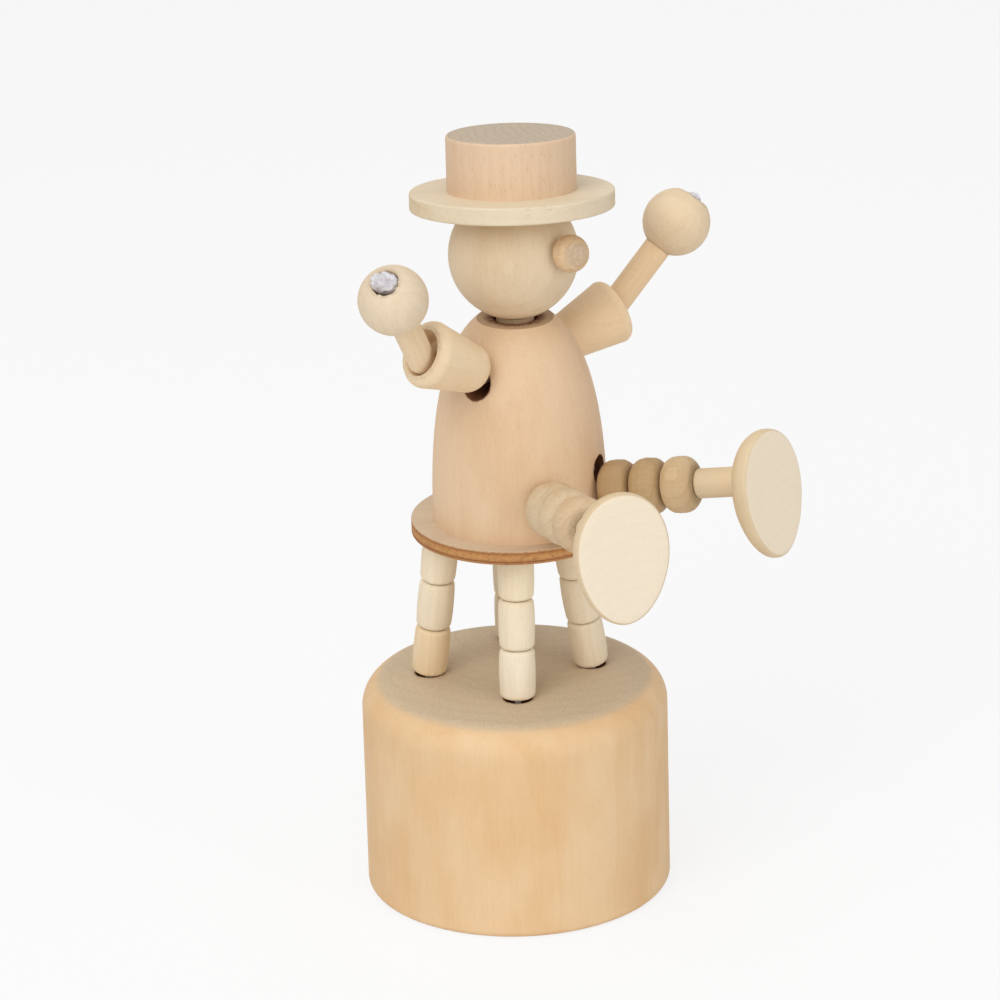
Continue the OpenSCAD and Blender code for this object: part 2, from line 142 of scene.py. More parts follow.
def mottle(tree, vector, per_mm, detail=2.0):
    """Noise of a given number of lumps per millimetre."""
    fill = {"Vector": vector, "Scale": per_mm, "Detail": detail, "Roughness": 0.6}
    return add(tree, "ShaderNodeTexNoise", fill).outputs["Fac"]


def new_group(name, inputs, outputs):
    """An empty node group with its named sockets, and its two end nodes."""
    group = bpy.data.node_groups.new(name, "ShaderNodeTree")
    for label, kind, value in inputs:
        made = group.interface.new_socket(label, in_out="INPUT", socket_type="NodeSocket" + kind)
        if value is not None:
            made.default_value = value
    for label, kind in outputs:
        group.interface.new_socket(label, in_out="OUTPUT", socket_type="NodeSocket" + kind)
    return group, group.nodes.new("NodeGroupInput").outputs, group.nodes.new("NodeGroupOutput").inputs


def make_grain():
    """Wood as a solid: rings about a far pith, long fibres, pores, blotches and duller end grain."""
    inputs = (
        ("Place", "Vector", None), ("Facing", "Vector", None),
        ("Light", "Color", None), ("Dark", "Color", None), ("End", "Color", None),
        ("Ring pitch", "Float", 2.4), ("Rings", "Float", 0.25), ("Fibre", "Float", 0.9),
        ("Pores", "Float", 0.35), ("Blotches", "Float", 0.6), ("Pith", "Vector", (19.0, 11.0, 0.0)),
        ("Seed", "Float", 0.0), ("Specks", "Float", 0.5),
    )
    outputs = (("Color", "Color"), ("Roughness", "Float"), ("Height", "Float"))
    group, given, result = new_group("wood grain", inputs, outputs)
    seed_step = (13.1, 7.7, 29.3)
    place = compute_vector(group, "ADD", stretched(group, seed_step, given["Seed"]), given["Place"])
    sway = add(group, "ShaderNodeTexNoise", {"Vector": stretched(group, place, (1, 1, 0.3)), "Scale": 0.09})
    sway_width = (3, 3, 3)
    swayed = compute_vector(group, "MULTIPLY_ADD", sway.outputs["Color"], sway_width, given["Place"])
    about_pith = compute_vector(group, "SUBTRACT", swayed, given["Pith"])
    one_ring_per_mm = 0.314
    ring_waves = {
        "Vector": stretched(group, about_pith, (1, 1, 0.03)),
        "Scale": compute(group, "DIVIDE", one_ring_per_mm, given["Ring pitch"]),
        "Distortion": 1.2, "Detail": 2.0, "Detail Scale": 1.5,
    }
    rings = add(group, "ShaderNodeTexWave", ring_waves,
                wave_type="RINGS", rings_direction="Z", wave_profile="SAW").outputs["Fac"]
    late_wood = compute(group, "MULTIPLY", compute(group, "POWER", rings, 3.0), given["Rings"])
    fibre = mottle(group, stretched(group, place, (1, 1, 0.05)), 1.7, 4.0)
    fibre_swing = compute(group, "MULTIPLY", compute(group, "SUBTRACT", fibre, 0.5), given["Fibre"])
    pores = remap(group, mottle(group, stretched(group, place, (1, 1, 0.24)), 3.6, 1.0), 0.60, 0.74)
    pores = compute(group, "MULTIPLY", pores, given["Pores"])
    blotches = remap(group, mottle(group, stretched(group, place, (1, 1, 0.55)), 0.075, 3.0), 0.36, 0.66)
    blotches = compute(group, "MULTIPLY", blotches, given["Blotches"])
    depth = compute(group, "ADD", compute(group, "ADD", fibre_swing, late_wood), blotches)
    depth = add(group, "ShaderNodeClamp", {"Value": depth}).outputs[0]
    side = blended(group, depth, given["Light"], given["Dark"])
    pore_colour = stretched(group, given["Dark"], (0.66, 0.50, 0.38))
    side = blended(group, compute(group, "MULTIPLY", pores, 0.55), side, pore_colour)
    facing = add(group, "ShaderNodeSeparateXYZ", {0: given["Facing"]}).outputs["Z"]
    on_end = remap(group, compute(group, "ABSOLUTE", facing), 0.80, 0.985)
    specks = remap(group, mottle(group, stretched(group, place, (1, 1, 0.2)), 2.6, 4.0), 0.34, 0.68)
    specks = compute(group, "MULTIPLY", specks, given["Specks"])
    end_depth = compute(group, "ADD", specks, late_wood)
    speck_colour = stretched(group, given["End"], (0.72, 0.66, 0.58))
    end = blended(group, end_depth, given["End"], speck_colour)
    colour = blended(group, on_end, side, end)
    side_relief = compute(group, "SUBTRACT", fibre, pores)
    end_relief = compute(group, "MULTIPLY", compute(group, "MULTIPLY", specks, on_end), 1.6)
    fibre_rough = compute(group, "MULTIPLY", fibre, 0.14)
    end_rough = compute(group, "MULTIPLY", on_end, 0.12)
    rough = compute(group, "ADD", fibre_rough, end_rough)
    group.links.new(colour, result["Color"])
    group.links.new(compute(group, "ADD", rough, 0.50), result["Roughness"])
    group.links.new(compute(group, "ADD", side_relief, end_relief), result["Height"])
    return group


def make_hole_stain_and_shade():
    """How far a point lies inside the brown edge and wall of a hole drilled along its own Z axis: torn wood
    at the rim, painted shade down the wall.
    """
    inputs = (("Place", "Vector", None), ("Radius", "Float", 1.0), ("Spread", "Float", 0.5))
    group, given, result = new_group("hole edge", inputs, (("Mask", "Float"),))
    flat = stretched(group, given["Place"], (1, 1, 0))
    away = add(group, "ShaderNodeVectorMath", {0: flat}, operation="LENGTH").outputs["Value"]
    ragged = compute(group, "SUBTRACT", mottle(group, given["Place"], 1.1, 3.0), 0.5)
    ragged = compute(group, "MULTIPLY", compute(group, "MULTIPLY", ragged, 1.4), given["Spread"])
    reach = compute(group, "SUBTRACT", compute(group, "ADD", away, ragged), given["Radius"])
    inside = remap(group, compute(group, "DIVIDE", reach, given["Spread"]), 0.0, 1.0, 1.0, 0.0)
    ahead = add(group, "ShaderNodeSeparateXYZ", {0: given["Place"]}).outputs["Z"]
    outward = compute(group, "GREATER_THAN", ahead, -0.5)
    group.links.new(compute(group, "MULTIPLY", inside, outward), result["Mask"])
    return group


grain = make_grain()
hole_edge_and_shade = make_hole_stain_and_shade()


def standing(origin, axis=(0, 0, 1)):
    """The place of a piece whose own Z axis points along axis from origin."""
    up = Vector(axis).normalized()
    side = Vector((0, 0, 1)).cross(up)
    side = side.normalized() if side.length > 1e-6 else Vector((0, 1, 0))
    turn = Matrix((side.cross(up), side, up)).transposed()
    return Matrix.Translation(Vector(origin)) @ turn.to_4x4()


def carried(tree, vector, place, unit=1.0):
    """A vector of the object's own space, seen from a piece's place."""
    fill = {"Vector": vector, "Rotation": place.to_euler(), "Scale": (unit,) * 3}
    fill["Location"] = place.translation if unit != 1.0 else (0, 0, 0)
    return add(tree, "ShaderNodeMapping", fill, vector_type="TEXTURE").outputs[0]


millimetre = 0.001
grain_depth = 0.12
wood_gloss = 0.35
# brown of torn, singed wood at the hole rims, also used as painted shade on the holes' walls
torn_and_shaded_brown = (0.25, 0.100, 0.045, 1)


def new_material(name):
    """A new material with its node tree and its shader."""
    material = bpy.data.materials.new(name)
    material.use_nodes = True
    return material, material.node_tree, material.node_tree.nodes["Principled BSDF"]


def wood(name, place, light, dark, end, holes=(), relief=0.35, **grain_values):
    """A wood finish whose grain runs along the piece's own Z axis.

    Each hole with a torn edge is given as its place, its radius and the edge's spread in mm. The brown also
    runs down the hole's wall as painted shade.
    """
    material, tree, shader = new_material(name)
    where = tree.nodes.new("ShaderNodeTexCoord").outputs
    mixed = add(tree, "ShaderNodeGroup", node_tree=grain)
    tree.links.new(carried(tree, where["Object"], place, millimetre), mixed.inputs["Place"])
    tree.links.new(carried(tree, where["Normal"], place), mixed.inputs["Facing"])
    for label, value in {"Light": (*light, 1), "Dark": (*dark, 1), "End": (*end, 1)}.items():
        mixed.inputs[label].default_value = value
    for label, value in grain_values.items():
        mixed.inputs[label.replace("_", " ").capitalize()].default_value = value
    colour, rough = mixed.outputs["Color"], mixed.outputs["Roughness"]
    for hole, radius, spread in holes:
        inside = add(tree, "ShaderNodeGroup", node_tree=hole_edge_and_shade)
        tree.links.new(carried(tree, where["Object"], hole, millimetre), inside.inputs["Place"])
        inside.inputs["Radius"].default_value = radius
        inside.inputs["Spread"].default_value = spread
        # the hole's rim and wall turn brown: torn wood at the rim, painted shade in the recess
        colour = blended(tree, inside.outputs["Mask"], colour, torn_and_shaded_brown)
        rough = compute(tree, "MAXIMUM", rough, inside.outputs["Mask"])
    grooves = {"Strength": relief, "Distance": grain_depth * millimetre, "Height": mixed.outputs["Height"]}
    bump = add(tree, "ShaderNodeBump", grooves)
    tree.links.new(colour, shader.inputs["Base Color"])
    tree.links.new(rough, shader.inputs["Roughness"])
    tree.links.new(bump.outputs[0], shader.inputs["Normal"])
    shader.inputs["Specular IOR Level"].default_value = wood_gloss
    return material


def finish_node(name, material):
    """Gives a piece of the frame its finish."""
    piece = nodes[name]
    piece.data.materials.clear()
    piece.data.materials.append(material)


def middle(name):
    """The middle of a piece's box."""
    low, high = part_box(name)
    return (low + high) / 2


leg_names = ("front_right", "front_left", "rear_left", "rear_right")
bead_length = 8.35
bead_gap = 0.06


def leg_line(leg):
    """A stool leg's foot and its direction."""
    low, high = (middle(f"stool_{leg}_bead_{tier}") for tier in (1, 3))
    direction = (high - low).normalized()
    return low - direction * bead_length / 2 * millimetre, direction


# the drum's cord holes get brown rims and walls: torn wood, and painted shade down the walls
drum_hole_radius = 2.3
drum_hole_spread = 0.35
drum_holes = []
for leg in leg_names:
    foot = leg_line(leg)[0]
    drum_holes.append((standing((foot.x, foot.y, 0)), drum_hole_radius, drum_hole_spread))
drum_finish = wood(
    "drum wood", standing((0, 0, 0)), (0.83, 0.590, 0.345), (0.765, 0.490, 0.245), (0.665, 0.530, 0.365),
    holes=drum_holes, ring_pitch=3.1, rings=0.14, fibre=0.6, pores=0.20, blotches=0.75, relief=0.25,
    specks=0.35,
)
finish_node("base_drum", drum_finish)

# ---- Button and spring --------------------------------------------------------------------
# The button is a loose turned disc in the drum's hollow, with a boss that centres the spring.
# The spring is drawn steel wire, coiled, with its last turn at each end laid flat.
button_finish = wood(
    "button wood", standing((0, 0, 0)), (0.80, 0.62, 0.40), (0.70, 0.48, 0.27), (0.66, 0.53, 0.36),
    rings=0.22, blotches=0.4, pores=0.4,
)
finish_node("push_button", button_finish)


def new_piece(name, points, faces, material, body, slot_name, stands_for=()):
    """Makes a smooth mesh piece that rides on a body and may stand for pieces of the frame."""
    mesh = bpy.data.meshes.new(name)
    mesh.from_pydata([tuple(point) for point in points], [], faces)
    mesh.validate()
    mesh.shade_smooth()
    mesh.materials.append(material)
    piece = bpy.data.objects.new(name, mesh)
    bpy.context.scene.collection.objects.link(piece)
    if stands_for:
        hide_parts(*stands_for)
    if body:
        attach(piece, body)
    return piece


def skin(rings, closed=False):
    """Quads between rings of points that all have as many points, and caps on open ends."""
    count, sides = len(rings), len(rings[0])
    faces = []
    for i in range(count if closed else count - 1):
        low, high = i * sides, (i + 1) % count * sides
        for s in range(sides):
            after = (s + 1) % sides
            faces.append((low + s, low + after, high + after, high + s))
    if not closed:
        faces.append(tuple(range(sides - 1, -1, -1)))
        faces.append(tuple((count - 1) * sides + s for s in range(sides)))
    return [point for ring in rings for point in ring], faces


def swept(path, radius_at, sides):
    """Rings of points about a path. radius_at gives the radius at a length along it and an angle."""
    rings = []
    length = 0.0
    across = None
    for i, point in enumerate(path):
        ahead = (path[min(i + 1, len(path) - 1)] - path[max(i - 1, 0)]).normalized()
        if i:
            length += (point - path[i - 1]).length
        if across is None:
            across = ahead.orthogonal().normalized()
        across = (across - ahead * across.dot(ahead)).normalized()
        other = ahead.cross(across)
        ring = []
        for s in range(sides):
            angle = math.tau * s / sides
            out = across * math.cos(angle) + other * math.sin(angle)
            ring.append(point + out * radius_at(length, angle))
        rings.append(ring)
    return rings


def metal(name, colour, roughness):
    """Bare drawn metal with fine streaks in its gloss."""
    material, tree, shader = new_material(name)
    where = tree.nodes.new("ShaderNodeTexCoord").outputs["Object"]
    streaks = mottle(tree, where, 2600.0, 3.0)
    rough = remap(tree, streaks, 0.3, 0.7, roughness - 0.08, roughness + 0.10)
    darker = [channel * 0.72 for channel in colour]
    tree.links.new(rough, shader.inputs["Roughness"])
    tree.links.new(blended(tree, streaks, (*colour, 1), (*darker, 1)), shader.inputs["Base Color"])
    shader.inputs["Metallic"].default_value = 1.0
    return material


spring_low, spring_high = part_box("return_spring")
wire_radius = 0.45
spring_turns = 6
flat_turns = 0.8
spring_steps = 48 * spring_turns
wire_sides = 14
coil_radius = (spring_high.x - spring_low.x) / 2 - wire_radius * millimetre
coil_low = spring_low.z + wire_radius * millimetre
coil_rise = spring_high.z - spring_low.z - 2 * wire_radius * millimetre
ground_rise = 2 * wire_radius * millimetre
open_turns = spring_turns - 2 * flat_turns
coil_path = []
for i in range(spring_steps + 1):
    turn = spring_turns * i / spring_steps
    risen = min(turn, flat_turns) / flat_turns * ground_rise
    risen += min(max(turn - flat_turns, 0) / open_turns, 1) * (coil_rise - 2 * ground_rise)
    risen += max(turn - spring_turns + flat_turns, 0) / flat_turns * ground_rise
    sideways = coil_radius * math.cos(math.tau * turn)
    forward = coil_radius * math.sin(math.tau * turn)
    coil_path.append(Vector((sideways, forward, coil_low + risen)))
spring_rings = swept(coil_path, lambda length, angle: wire_radius * millimetre, wire_sides)
spring_finish = metal("spring steel", (0.56, 0.56, 0.55), 0.30)
coil = new_piece("spring_coil", *skin(spring_rings), spring_finish, None, "spring_steel", ["return_spring"])
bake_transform(coil)

# ---- Cords --------------------------------------------------------------------------------
# Four thin braided cords run from knots under the button through the stool's legs, the seat and
# the body to the hands and shoes. Each stretch shows only where two beads part.
cord_radius = 0.55
cord_step = 0.24
braid_pitch = 2.2
braid_depth = 0.16
braid_waves = 1.5
cord_sides = 16


def make_cord_finish(name, thread, shade):
    """Matt off-white thread, a little dirty, with fuzz too fine to model."""
    material, tree, shader = new_material(name)
    where = tree.nodes.new("ShaderNodeTexCoord").outputs["Object"]
    dirt = remap(tree, mottle(tree, where, 420.0, 3.0), 0.35, 0.75)
    fuzz = mottle(tree, where, 6000.0, 2.0)
    bump = add(tree, "ShaderNodeBump", {"Strength": 0.4, "Distance": 0.00006, "Height": fuzz})
    tree.links.new(blended(tree, dirt, (*thread, 1), (*shade, 1)), shader.inputs["Base Color"])
    tree.links.new(bump.outputs[0], shader.inputs["Normal"])
    shader.inputs["Roughness"].default_value = 0.85
    shader.inputs["Sheen Weight"].default_value = 0.25
    return material


cord_finish = make_cord_finish("cotton cord", (0.84, 0.82, 0.76), (0.62, 0.57, 0.49))
finish_node("body_cords", cord_finish)


def braided(length, angle):
    """The radius of a round braid: two families of strands that wind opposite ways."""
    wind = math.tau * length / (braid_pitch * millimetre)
    strand = max(abs(math.cos(braid_waves * angle + wind)), abs(math.cos(braid_waves * angle - wind)))
    return cord_radius * millimetre * (1 - braid_depth * (1 - strand))


def straight(start, end):
    """Evenly spaced points from start to end."""
    steps = max(2, round((end - start).length / (cord_step * millimetre)))
    return [start.lerp(end, i / steps) for i in range(steps + 1)]


def cord_stretch(name, start, end, body, next_body=None):
    """A stretch of cord from start to end that rides on one body, or rides on none when it spans from one
    body to the next.
    """
    points, faces = skin(swept(straight(start, end), braided, cord_sides))
    piece = new_piece(name, points, faces, cord_finish, None if next_body else body, "cotton_cord")
    if next_body:
        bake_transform(piece)


def lump(name, centre, axis, radii, creasing, seed, material, body, slot_name, stands_for=()):
    """A knot: a ball pulled to three radii in mm, creased like drawn-up cord."""
    place = standing(centre, axis)
    rows, columns = 26, 36
    rings = []
    for row in range(1, rows):
        polar = math.pi * row / rows
        width, height = math.sin(polar), -math.cos(polar)
        ring = []
        for column in range(columns):
            angle = math.tau * column / columns
            out = Vector((width * math.cos(angle), width * math.sin(angle), height))
            crease = abs(noise.noise(out * 1.9 + Vector((seed, 0, 0)))) + 0.4 * noise.noise(out * 5.1)
            size = 1 - creasing * crease
            ring.append(place @ (Vector([o * r * size for o, r in zip(out, radii)]) * millimetre))
        rings.append(ring)
    points, faces = skin(rings)
    new_piece(name, points, faces, material, body, slot_name, stands_for)


button_cords_low, button_cords_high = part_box("button_cords")
tied_radius = 1.48
tied_radii = (tied_radius, tied_radius * 0.92, tied_radius)
tied_height = button_cords_low.z + tied_radius * millimetre
for number, leg in enumerate(leg_names):
    foot = leg_line(leg)[0]
    tied = Vector((foot.x, foot.y, tied_height))
    top = Vector((foot.x, foot.y, button_cords_high.z))
    points, faces = skin(swept(straight(tied, top), braided, cord_sides))
    stands_for = ["button_cords"] if number == 0 else []
    new_piece(f"button_cord_{leg}", points, faces, cord_finish, "button", "cotton_cord", stands_for)
    lump(f"button_knot_{leg}", tied, (0, 0, 1), tied_radii, 0.28, number * 3.7,
         cord_finish, "button", "cotton_cord")

# ---- Stool legs ---------------------------------------------------------------------------
# Each leg is a stack of three beads cut from thin dowel, with the grain lengthwise. They are
# slightly barrelled, no two are quite alike, and they are only strung on their cord.
bead_radius = 2.95
bead_bore = 1.0
bead_edge = 0.85
bead_barrel = 0.10
cord_in_drum = 6.0
cord_in_seat = 0.9


def arc(r, z, radius, first, last, steps=6):
    """Outline points (distance from the axis, height) on a round corner, angles in degrees."""
    angles = [math.radians(first + (last - first) * i / steps) for i in range(steps + 1)]
    return [(r + radius * math.cos(a), z + radius * math.sin(a)) for a in angles]


def refined(outline, longest):
    """A closed outline with points added so that no side is longer than longest."""
    fine = []
    for (r, z), (next_r, next_z) in zip(outline, outline[1:] + outline[:1]):
        steps = max(1, math.ceil(math.hypot(next_r - r, next_z - z) / longest))
        fine += [(r + (next_r - r) * i / steps, z + (next_z - z) * i / steps) for i in range(steps)]
    return fine


def lathe(outline, place, seed, uneven=0.03, marks=0.010, segments=72, extra=None):
    """Turns a closed outline in mm about the piece's own Z axis, as a lathe and hand sanding leave it."""
    rings = []
    for r, z in outline:
        mark = marks * noise.noise(Vector((seed, z * 2.3, r * 0.4)))
        ring = []
        for s in range(segments):
            angle = math.tau * s / segments
            cosine, sine = math.cos(angle), math.sin(angle)
            around = Vector((cosine * 0.8, sine * 0.8, z * 0.08)) + Vector((seed * 1.3, 0, 0))
            out = r + mark + uneven * min(1.0, r / 3) * noise.noise(around)
            height = z
            if extra:
                out, height = extra(out, z, angle)
            ring.append(place @ (Vector((out * cosine, out * sine, height)) * millimetre))
        rings.append(ring)
    return skin(rings, closed=True)


def bead_outline(radius, length, edge, barrel, bore):
    """A bored bead with rounded edges, a little thicker in its middle."""
    flat = radius - barrel - edge
    chamfer = 0.15
    wall_steps = 8
    wall_length = length - 2 * edge
    shares = [i / wall_steps for i in range(1, wall_steps)]
    wall = [(radius - barrel * (2 * share - 1) ** 2, edge + wall_length * share) for share in shares]
    outline = [(bore + chamfer, 0)] + arc(flat, edge, edge, -90, 0) + wall
    outline += arc(flat, length - edge, edge, 0, 90) + [(bore + chamfer, length)]
    outline += [(bore, length - chamfer), (bore, chamfer)]
    return outline


stool_tints = {
    "front_right": ((0.93, 0.82, 0.635), (0.92, 0.80, 0.60), (0.91, 0.79, 0.58)),
    "front_left": ((0.91, 0.79, 0.60), (0.90, 0.77, 0.575), (0.91, 0.78, 0.585)),
    "rear_left": ((0.89, 0.75, 0.545), (0.90, 0.77, 0.565), (0.88, 0.74, 0.535)),
    "rear_right": ((0.88, 0.69, 0.450), (0.90, 0.77, 0.575), (0.91, 0.78, 0.585)),
}


def shaded(colour, factor):
    """A darker, warmer mate of a colour."""
    red, green, blue = colour
    return (red * factor, green * factor ** 1.5, blue * factor ** 2.3)


def grey(colour, factor):
    """The duller tone that end grain has next to a colour."""
    red, green, blue = colour
    return (red * factor * 0.98, green * factor * 0.99, blue * factor)


for number, leg in enumerate(leg_names):
    foot, leg_direction = leg_line(leg)
    pitch = (bead_length + bead_gap) * millimetre
    for tier in range(3):
        node_name = f"stool_{leg}_bead_{tier + 1}"
        seed = 5.3 * (3 * number + tier) + 1.7
        bead_place = standing(foot + leg_direction * pitch * tier, leg_direction)
        tint = stool_tints[leg][tier]
        # each bead's bore and its rims turn brown: torn wood, and painted shade down the bore
        finish = wood(
            f"stool bead wood {leg} {tier + 1}", bead_place, tint, shaded(tint, 0.90), grey(tint, 0.86),
            holes=[(bead_place, bead_bore, 0.25)], pith=(9.0 + seed % 7, 5.0, 0.0), ring_pitch=1.3,
            rings=0.30, fibre=1.1, pores=0.22, blotches=0.35, seed=seed,
        )
        outline = bead_outline(bead_radius, bead_length, bead_edge, bead_barrel, bead_bore)
        points, faces = lathe(refined(outline, 0.9), bead_place, seed, uneven=0.07)
        new_piece(f"{node_name}_turned", points, faces, finish, node_name, "stool_wood", [node_name])
    joints_between = [foot - leg_direction * cord_in_drum * millimetre]
    joints_between += [foot + leg_direction * pitch * (tier + 0.5) for tier in range(3)]
    bodies = ["base"] + [f"stool_{leg}_bead_{tier}" for tier in (1, 2, 3)]
    for tier in range(3):
        cord_stretch(f"stool_{leg}_cord_{tier + 1}", joints_between[tier], joints_between[tier + 1],
                     bodies[tier], bodies[tier + 1])
    top = foot + leg_direction * (pitch * 3 + cord_in_seat * millimetre)
    cord_stretch(f"stool_{leg}_cord_4", joints_between[3], top, bodies[3])

# ---- Seat ---------------------------------------------------------------------------------
# A thin plywood disc: grey-tan veneers over an orange core, with dark glue lines on the sawn edge.
# It is bored for the four cords and glued under the body.
seat_low, seat_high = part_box("seat")


def make_ply(name, low, high):
    """Veneer grain on the faces and layered edge wood with glue lines between."""
    lying = Matrix.Rotation(math.radians(90), 4, "Y") @ Matrix.Rotation(0.4, 4, "X")
    material = wood(name, lying, (0.70, 0.545, 0.385), (0.61, 0.445, 0.29), (0.56, 0.33, 0.15),
                    rings=0.30, fibre=1.0, pores=0.5, blotches=0.3, ring_pitch=1.6, relief=0.45)
    tree = material.node_tree
    shader = tree.nodes["Principled BSDF"]
    faces = shader.inputs["Base Color"].links[0].from_socket
    where = tree.nodes.new("ShaderNodeTexCoord").outputs
    ragged = mottle(tree, stretched(tree, where["Object"], (1, 1, 2.5)), 900.0, 3.0)
    height = add(tree, "ShaderNodeSeparateXYZ", {0: where["Object"]}).outputs["Z"]
    level = add(tree, "ShaderNodeMapRange", {"Value": height, "From Min": low, "From Max": high}).outputs[0]
    ragged = compute(tree, "MULTIPLY", compute(tree, "SUBTRACT", ragged, 0.5), 0.10)
    level = compute(tree, "ADD", level, ragged)
    layers = add(tree, "ShaderNodeValToRGB", {"Fac": level})
    stops = (
        (0.00, (0.50, 0.25, 0.09)), (0.16, (0.46, 0.20, 0.065)), (0.22, (0.16, 0.055, 0.018)),
        (0.30, (0.52, 0.22, 0.065)), (0.46, (0.58, 0.30, 0.105)), (0.62, (0.55, 0.27, 0.085)),
        (0.76, (0.50, 0.20, 0.055)), (0.83, (0.30, 0.12, 0.040)), (0.91, (0.54, 0.29, 0.115)),
        (1.00, (0.62, 0.43, 0.26)),
    )
    ramp = layers.color_ramp
    while len(ramp.elements) < len(stops):
        ramp.elements.new(0.5)
    for element, (at, colour) in zip(ramp.elements, stops):
        element.position = at
        element.color = (*colour, 1)
    ends = remap(tree, mottle(tree, stretched(tree, where["Object"], (1, 1, 1.6)), 1500.0, 4.0), 0.46, 0.70)
    ends = compute(tree, "MULTIPLY", ends, 0.6)
    edge = blended(tree, ends, layers.outputs["Color"], (0.24, 0.095, 0.035, 1))
    upright = add(tree, "ShaderNodeSeparateXYZ", {0: where["Normal"]}).outputs["Z"]
    on_face = remap(tree, compute(tree, "ABSOLUTE", upright), 0.55, 0.85)
    tree.links.new(blended(tree, on_face, edge, faces), shader.inputs["Base Color"])
    return material


finish_node("seat", make_ply("seat ply", seat_low.z, seat_high.z))

# ---- Body ---------------------------------------------------------------------------------
# One turned dome with its grain upright, bored for the arms, the legs and the neck.
# Drilling tore the edges of its holes; the brown down their walls is painted shade, and the wide brown ring
# round the neck is partly stain and partly painted shade under the head.
body_low, body_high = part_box("body")
body_axis = Vector(((body_low.x + body_high.x) / 2, (body_low.y + body_high.y) / 2, body_low.z))
hip_heights = (7.3, 9.3)
arm_height = 25.6
arm_turn = 9.5
hip_turns = (-117.0, -67.0)
# Each kind of hole has a radius and a spread of its torn edge in mm; the neck's wide brown spread is partly
# stain and partly painted shade under the head.
hip_hole = (2.3, 0.25)
arm_hole = (2.5, 0.3)
neck_hole_and_shade = (3.6, 1.8)


def body_hole(height, azimuth, radius, spread):
    """A hole that leaves the body's axis at a height above the seat."""
    out = Vector((math.cos(math.radians(azimuth)), math.sin(math.radians(azimuth)), 0))
    return (standing(body_axis + Vector((0, 0, height * millimetre)), out), radius, spread)


body_holes = [body_hole(height, azimuth, *hip_hole) for height, azimuth in zip(hip_heights, hip_turns)]
body_holes += [body_hole(arm_height, azimuth, *arm_hole) for azimuth in (arm_turn, 180 + arm_turn)]
body_holes.append((standing(body_axis), *neck_hole_and_shade))
body_finish = wood(
    "body wood", standing(body_axis), (0.80, 0.575, 0.370), (0.72, 0.475, 0.275), (0.66, 0.470, 0.300),
    holes=body_holes, pith=(24.0, -9.0, 0.0), ring_pitch=2.9, rings=0.12, fibre=0.6, pores=0.28,
    blotches=0.55, seed=2.0,
)
finish_node("body", body_finish)

# ---- Head and neck ------------------------------------------------------------------------
# The head is a turned ball with a flat on top, on a short dowel that stands in the body's hole.
# The nose is a slice of dowel with a domed face, on a stem pushed into the face.
head_centre = Vector(joints["head_nod"]["pos_m"])
head_tilt = math.radians(7)
head_place = Matrix.Translation(head_centre) @ Matrix.Rotation(head_tilt, 4, Vector((-1, 1, 0)))
head_finish = wood(
    "head wood", head_place, (0.76, 0.605, 0.415), (0.68, 0.500, 0.310), (0.74, 0.580, 0.390),
    pith=(14.0, 8.0, 0.0), ring_pitch=2.2, rings=0.26, fibre=0.8, pores=0.3, blotches=0.6, seed=4.0,
)
finish_node("head", head_finish)
finish_node("head_plug", head_finish)
neck_finish = wood(
    "neck wood", standing(body_axis), (0.70, 0.50, 0.31), (0.56, 0.36, 0.19), (0.50, 0.33, 0.18),
    fibre=1.0, pores=0.4, seed=3.0,
)
finish_node("neck_bead", neck_finish)
nose_turn, nose_lift, nose_lean = (math.radians(angle) for angle in (6.5, 6.5, 26))
nose_out = 10.4
nose_place = head_place @ Matrix.Rotation(nose_turn, 4, "Z")
nose_place = nose_place @ Matrix.Rotation(math.pi / 2 - nose_lift, 4, "X")
nose_place = nose_place @ Matrix.Translation((0, 0, nose_out * millimetre))
nose_place = nose_place @ Matrix.Rotation(-nose_lean, 4, "Y")
nose_finish = wood(
    "nose wood", nose_place, (0.74, 0.53, 0.32), (0.56, 0.36, 0.18), (0.66, 0.495, 0.345),
    pith=(2.0, 1.5, 0.0), ring_pitch=0.9, rings=0.35, fibre=1.2, pores=0.5, blotches=0.4, seed=5.0,
)
finish_node("nose", nose_finish)

# ---- Hat ----------------------------------------------------------------------------------
# The brim is a thin disc sawn from a board, so its grain lies flat. The crown is a slice of thick
# dowel with grey end grain on top. Both are glued on.
grain_turn = math.radians(35)
flat_grain = head_place @ Matrix.Rotation(math.radians(90), 4, "Y") @ Matrix.Rotation(grain_turn, 4, "X")
brim_finish = wood(
    "brim wood", flat_grain, (0.80, 0.680, 0.500), (0.73, 0.590, 0.400), (0.80, 0.645, 0.435),
    pith=(60.0, 9.0, 0.0), ring_pitch=2.1, rings=0.26, fibre=0.9, pores=0.35, blotches=0.35, seed=6.0,
)
finish_node("hat_brim", brim_finish)
crown_finish = wood(
    "crown wood", head_place, (0.76, 0.560, 0.380), (0.69, 0.465, 0.290), (0.610, 0.505, 0.385),
    pith=(30.0, -16.0, 0.0), ring_pitch=1.5, rings=0.30, fibre=1.0, pores=0.45, blotches=0.3, seed=7.0,
)
finish_node("hat_crown", crown_finish)

# ---- Sleeves and forearms -----------------------------------------------------------------
# A sleeve is a small turned cone with a thick rounded cuff, drilled hollow for the elbow.
# A forearm is a piece of dowel with a round elbow end and a dished wrist.
side_names = ("right", "left")
sleeve_rise = {"right": 27.0, "left": 20.0}
sleeve_azimuth = {"right": 170.0, "left": -20.0}


def pointing(azimuth, rise):
    """The direction with an azimuth and a rise in degrees."""
    turn, up = math.radians(azimuth), math.radians(rise)
    return Vector((math.cos(up) * math.cos(turn), math.cos(up) * math.sin(turn), math.sin(up)))


def elbow(side):
    """The middle of the elbow's ball."""
    return Vector(joints[f"{side}_elbow_droop"]["pos_m"])


def wrist_direction(side):
    """The direction from elbow to hand."""
    return (Vector(joints[f"{side}_wrist_droop"]["pos_m"]) - elbow(side)).normalized()


